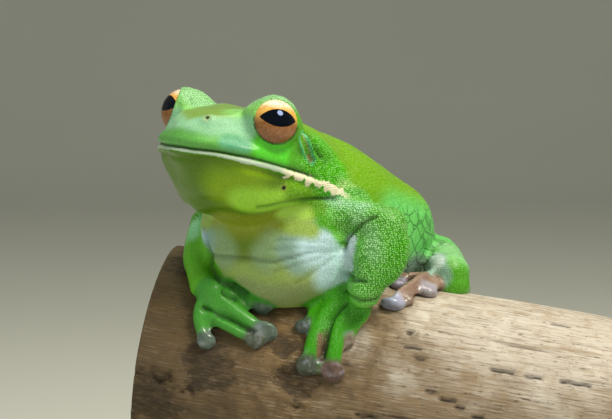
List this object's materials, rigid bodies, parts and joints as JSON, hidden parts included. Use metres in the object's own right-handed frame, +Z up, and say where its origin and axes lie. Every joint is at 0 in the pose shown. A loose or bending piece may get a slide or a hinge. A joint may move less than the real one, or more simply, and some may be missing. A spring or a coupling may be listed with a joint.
{
  "type": "white-lipped tree frog model",
  "caption": "Life-size still model of a green white-lipped tree frog crouching on a cut length of driftwood branch, on a flat display base with short rods.",
  "frame": {"origin": "on the underside of the display base, below the middle of the frog's breast", "axes": "+Z up, the frog faces -Y and its left side is on +X; the branch runs across it, turned 24 degrees from +X towards +Y"},
  "size_m": [0.1462, 0.1209, 0.1307],
  "materials": {
    "green_skin": "moist satin skin, bright green, finely granular, paler below",
    "throat_skin": "moist satin skin, olive yellow with a cream-white lip line",
    "toe_skin": "moist glossy skin, copper brown with lavender-grey toe pads",
    "eye_gold": "glossy wet eye, gold and copper iris with a black horizontal pupil",
    "weathered_wood": "dry barkless driftwood, pale tan with grain, cracks and dark rot",
    "lacquered_base": "smooth satin black lacquer on board",
    "steel_rod": "plain satin steel rod"
  },
  "bodies": {
    "root": {"eye_left": "eye_gold", "eye_right": "eye_gold", "foot_left": "toe_skin", "foot_right": "toe_skin", "forearm_left": "green_skin", "forearm_right": "green_skin", "hand_left": "green_skin", "hand_right": "green_skin", "head": "green_skin", "lower_jaw": "throat_skin", "perch_log": "weathered_wood", "shank_left": "green_skin", "shank_right": "green_skin", "stand_base": "lacquered_base", "stand_rod_high": "steel_rod", "stand_rod_low": "steel_rod", "thigh_left": "green_skin", "thigh_right": "green_skin", "trunk": "green_skin", "tympanum_left": "green_skin", "tympanum_right": "green_skin", "upper_arm_left": "green_skin", "upper_arm_right": "green_skin"}
  },
  "joints": []
}
